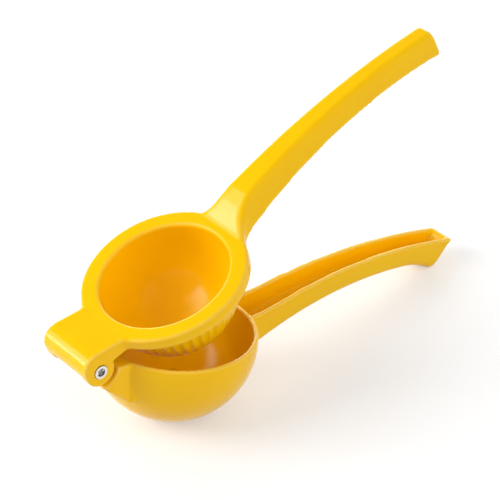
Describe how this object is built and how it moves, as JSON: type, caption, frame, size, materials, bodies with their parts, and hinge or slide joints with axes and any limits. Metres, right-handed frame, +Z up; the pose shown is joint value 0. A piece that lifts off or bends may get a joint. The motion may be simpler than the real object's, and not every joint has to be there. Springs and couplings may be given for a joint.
{
  "type": "hinged lemon squeezer",
  "caption": "Hand-held citrus squeezer with a hollow fluted press dome that swings on a pinned hinge into a drilled bowl, worked by curved channel handles.",
  "frame": {"origin": "centre of the small flat spot under the bowl, in the plane of the table that the squeezer lies on", "axes": "+Z up from the table; +X from the hinge towards the handle tips; the hinge pin lies along Y and XZ is the plane of symmetry of both arms"},
  "size_m": [0.2173, 0.0758, 0.1258],
  "materials": {
    "yellow_enamel": "smooth lemon-yellow enamel or powder coat over cast aluminium, soft gloss",
    "bright_steel": "bright turned steel"
  },
  "bodies": {
    "lower_arm": {"cup_arm": "yellow_enamel"},
    "upper_arm": {"press_arm": "yellow_enamel", "hinge_barrel": "bright_steel", "hinge_screw": "bright_steel"}
  },
  "joints": [
    {"name": "arm_hinge", "type": "hinge", "parent": "lower_arm", "child": "upper_arm", "pos_m": [-0.04782, 0, 0.0523], "axis": [0, -1, 0], "range_deg": [-27, 71.8]}
  ]
}
